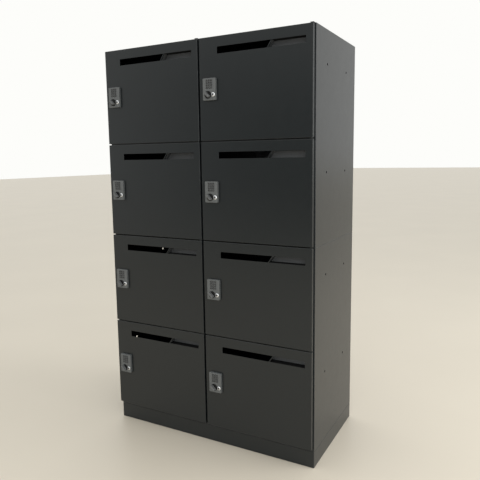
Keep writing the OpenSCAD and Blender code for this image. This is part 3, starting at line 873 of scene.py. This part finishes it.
# name, shape, material, slot, body, and the CAD node it stands for or rides with
lockParts = (
    ("lock_body", makeLockCase(), caseGrey, "lock_case_grey", "swing", "lock_case"),
    ("key_mat", makeKeyMat(), matBlack, "key_caps", "keys", None),
    ("key_caps", makeKeyCaps(), capGrey, "key_caps", "keys", "keypad"),
    ("key_dots", makeKeyDots(), dotBlack, "key_caps", "keys", None),
    # the knob's disc in near-black painted shade
    ("knob_disc", makeKnobBase(), knobShadeBlack, "knob_plastic", "knob", "lock_knob"),
    ("knob_grip", makeKnobGrip(), gripGrey, "knob_plastic", "knob", None),
    ("key_cylinder", makeKeyPlug(), nickel, "bright_nickel", "plug", "key_plug"),
    ("key_core", makeKeyCore(), coreMetal, "bright_nickel", "plug", None),
)
axes = {"knob": "lock_knob", "plug": "key_plug"}
for locker in lockers:
    for name, bm, material, slot, body, node in lockParts:
        low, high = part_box(f"{axes.get(body, 'lock_case')}_{locker}")
        place = ((low.x + high.x) / 2, doorLow.y, (low.z + high.z) / 2)
        finishPiece(f"{name}_{locker}", bm, material, f"{body}_{locker}",
                    nodes=[f"{node}_{locker}"] if node else [], move=place)
    easedNode(f"latch_cam_{locker}", zinc, 0.3 * mm)
print("locks made")


studio = {
    "floorSize": 60,
    "floor": "#d1c9ba",
    "floorFront": 5.5,
    "wall": "#fdfdfa",
    "roomLow": 0.08,
    "roomRight": 0.88,
    "roomHigh": 1.0,
    "lens": 39.46,           # on a 36 mm sensor
    "camera": (1.0720, -1.9343, 1.1323),
    "yaw": 28.553,
    "pitch": -7.771,
    "roll": -0.821,
    "shift": (0.0063, -0.0190),
}


def paleFloor():
    # sealed pale floor: nearly even, with a soft satin sheen
    material, tree, shader, place = startMaterial("sealed_pale_floor", IOR=1.45, Roughness=0.42)
    cloud = addNode(tree, "ShaderNodeTexNoise", {"Vector": place, "Scale": 1.3, "Detail": 4.0})
    tint = Vector(hexColour(studio["floor"])[:3])
    shade = addNode(tree, "ShaderNodeMix", {0: cloud.outputs["Fac"], 6: (*(tint * 0.96), 1),
                    7: (*(tint * 1.04), 1)}, data_type="RGBA")
    tree.links.new(shade.outputs[2], shader.inputs["Base Color"])
    return material


floorShape = bmesh.new()
bmesh.ops.create_grid(floorShape, x_segments=4, y_segments=4, size=studio["floorSize"] / 2,
                      matrix=Matrix.Translation((0, studio["floorSize"] / 2 - studio["floorFront"], 0)))
floorMesh = bpy.data.meshes.new("floor")
floorShape.to_mesh(floorMesh)
floorMesh.materials.append(paleFloor())
floor = bpy.data.objects.new("floor", floorMesh)
bpy.context.scene.collection.objects.link(floor)

# a pale room that is dimmer in front of the cabinet, at eye level, and bright behind and overhead
world = bpy.data.worlds.new("pale_room")
world.use_nodes = True
bpy.context.scene.world = world
room = world.node_tree
way = addNode(room, "ShaderNodeSeparateXYZ", {0: addNode(room, "ShaderNodeTexCoord").outputs["Generated"]})
behind = addNode(room, "ShaderNodeMapRange", {0: way.outputs["Y"], 1: -0.96, 2: -0.62},
                 interpolation_type="SMOOTHSTEP")
above = addNode(room, "ShaderNodeMapRange", {0: way.outputs["Z"], 1: 0.1, 2: 0.32})
bright = addNode(room, "ShaderNodeMath", {0: behind.outputs[0], 1: above.outputs[0]}, operation="MAXIMUM")
power = addNode(room, "ShaderNodeMapRange", {0: bright.outputs[0],
                3: studio["roomLow"], 4: studio["roomHigh"]})
room.nodes["Background"].inputs["Color"].default_value = hexColour(studio["wall"])
right = addNode(room, "ShaderNodeMapRange", {0: way.outputs["X"], 1: 0.02, 2: 0.2,
                3: 1.0, 4: studio["roomRight"]})
dimmed = addNode(room, "ShaderNodeMath", {0: power.outputs[0], 1: right.outputs[0]}, operation="MULTIPLY")
# seen directly, the room is plain and pale all round
seen = addNode(room, "ShaderNodeLightPath").outputs["Is Camera Ray"]
shown = addNode(room, "ShaderNodeMath", {0: dimmed.outputs[0], 1: seen}, operation="MAXIMUM")
room.links.new(shown.outputs[0], room.nodes["Background"].inputs["Strength"])

# name, power in watts, size, place, what it points at
lamps = (
    ("window_right", 62, (2.4, 2.4), (3.5, 0.6, 2.5), (0.4, 0, 1.2)),
    ("ceiling_front", 26, (2.0, 2.0), (2.4, -2.8, 2.7), (0, -0.2, 1.0)),
    ("front_fill", 20, (1.2, 1.2), (1.3, -3.4, 1.3), (0, -0.2, 0.95)),
)
for name, power, (width, height), place, target in lamps:
    light = bpy.data.lights.new(name, "AREA")
    light.shape = "RECTANGLE"
    light.energy = power
    light.size = width
    light.size_y = height
    lamp = bpy.data.objects.new(name, light)
    lamp.location = place
    lamp.rotation_euler = (Vector(target) - Vector(place)).to_track_quat("-Z", "Y").to_euler()
    bpy.context.scene.collection.objects.link(lamp)

view = bpy.data.cameras.new("camera")
view.lens = studio["lens"]
view.sensor_width = 36
view.shift_x, view.shift_y = studio["shift"]
camera = bpy.data.objects.new("camera", view)
camera.matrix_world = (Matrix.Translation(studio["camera"])
                       @ Matrix.Rotation(math.radians(studio["yaw"]), 4, "Z")
                       @ Matrix.Rotation(math.radians(90 + studio["pitch"]), 4, "X")
                       @ Matrix.Rotation(math.radians(studio["roll"]), 4, "Z"))
bpy.context.scene.collection.objects.link(camera)
bpy.context.scene.camera = camera
bpy.context.scene.view_settings.view_transform = "Standard"
print("studio made")
